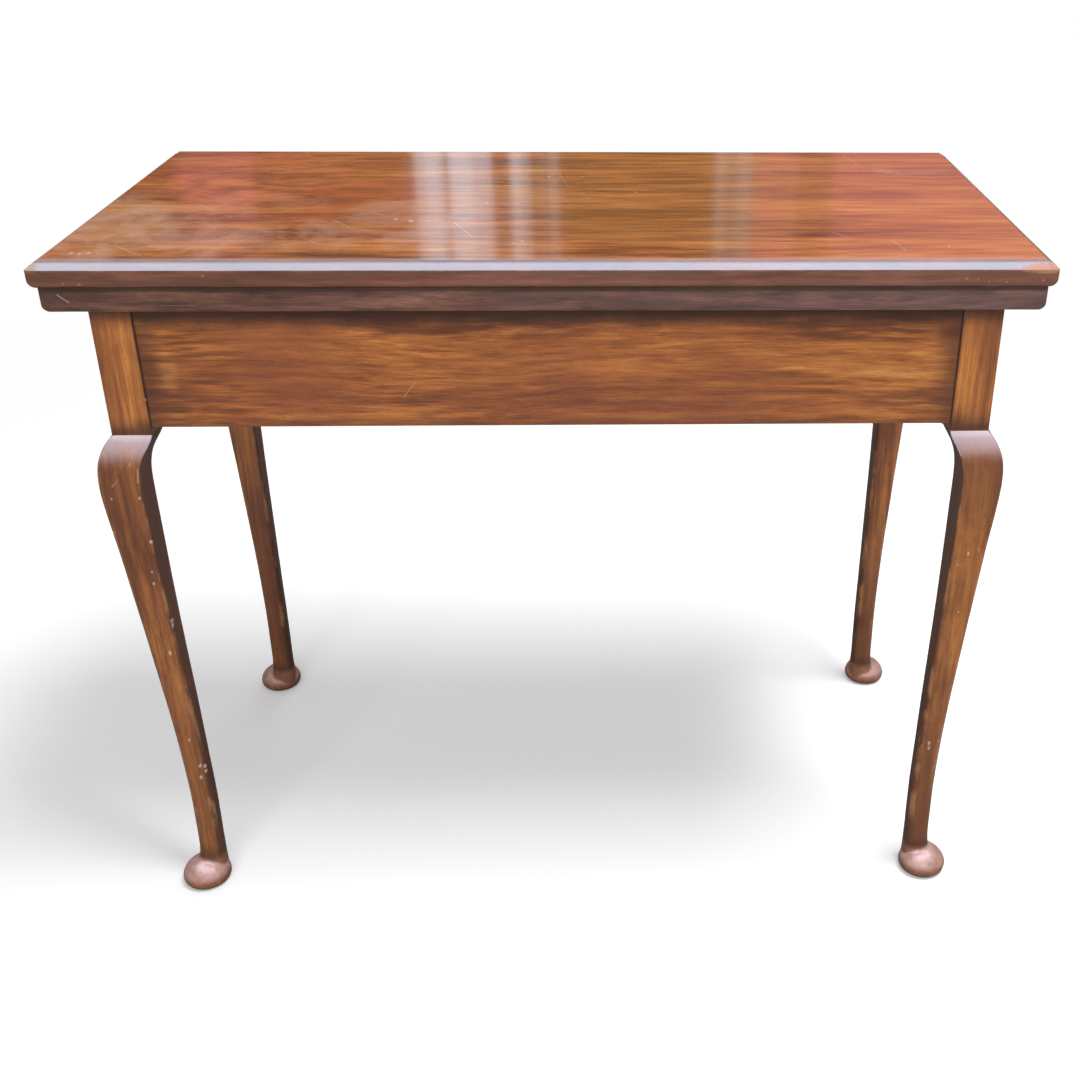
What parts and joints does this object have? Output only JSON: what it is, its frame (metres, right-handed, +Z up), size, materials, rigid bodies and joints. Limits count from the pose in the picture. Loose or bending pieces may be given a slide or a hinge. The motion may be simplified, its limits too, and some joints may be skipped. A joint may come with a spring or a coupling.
{
  "type": "folding card table",
  "caption": "Fold-over card table with a book-opening top on end hinges, a moulded edge, cabriole legs on pad feet, and a back leg that swings out on a wooden knuckle joint.",
  "frame": {"origin": "on the floor, under the middle of the closed table's box", "axes": "+X along the length of the table, to the right as seen from the front; +Y from the front to the back, where the leaves are hinged; +Z up"},
  "size_m": [0.914, 0.4675, 0.74],
  "materials": {
    "top_mahogany": "french polished mahogany, glossy, worn at the edges",
    "apron_mahogany": "polished figured mahogany, satin gloss",
    "leg_mahogany": "polished mahogany, satin gloss, rubbed arrises",
    "secondary_oak": "unpolished dry oak",
    "baize": "woollen baize, matt",
    "brass": "dulled old brass",
    "iron": "darkened iron"
  },
  "bodies": {
    "frame": {"front_rail": "apron_mahogany", "left_side_rail": "apron_mahogany", "right_side_rail": "apron_mahogany", "fixed_back_rail": "apron_mahogany", "inner_back_rail": "secondary_oak", "corner_blocks": "secondary_oak", "glue_blocks": "secondary_oak", "front_left_leg": "leg_mahogany", "front_right_leg": "leg_mahogany", "back_right_leg": "leg_mahogany", "lower_leaf": "top_mahogany", "lower_baize": "baize", "left_hinge_lower_plate": "brass", "left_hinge_pin": "brass", "right_hinge_lower_plate": "brass", "right_hinge_pin": "brass", "hinge_screws_lower": "brass", "top_screws": "iron", "rail_screws": "iron", "knuckle_pin": "iron"},
    "upper_leaf": {"upper_leaf": "top_mahogany", "upper_baize": "baize", "left_hinge_upper_plate": "brass", "right_hinge_upper_plate": "brass", "hinge_screws_upper": "brass"},
    "swing_leg": {"fly_rail": "apron_mahogany", "swing_leg": "leg_mahogany"}
  },
  "joints": [
    {"name": "top_fold", "type": "hinge", "parent": "frame", "child": "upper_leaf", "pos_m": [0, 0.21625, 0.716], "axis": [-1, 0, 0], "range_deg": [0, 180]},
    {"name": "leg_swing", "type": "hinge", "parent": "frame", "child": "swing_leg", "pos_m": [0.008, 0.20525, 0.63], "axis": [0, 0, -1], "range_deg": [0, 90]}
  ]
}
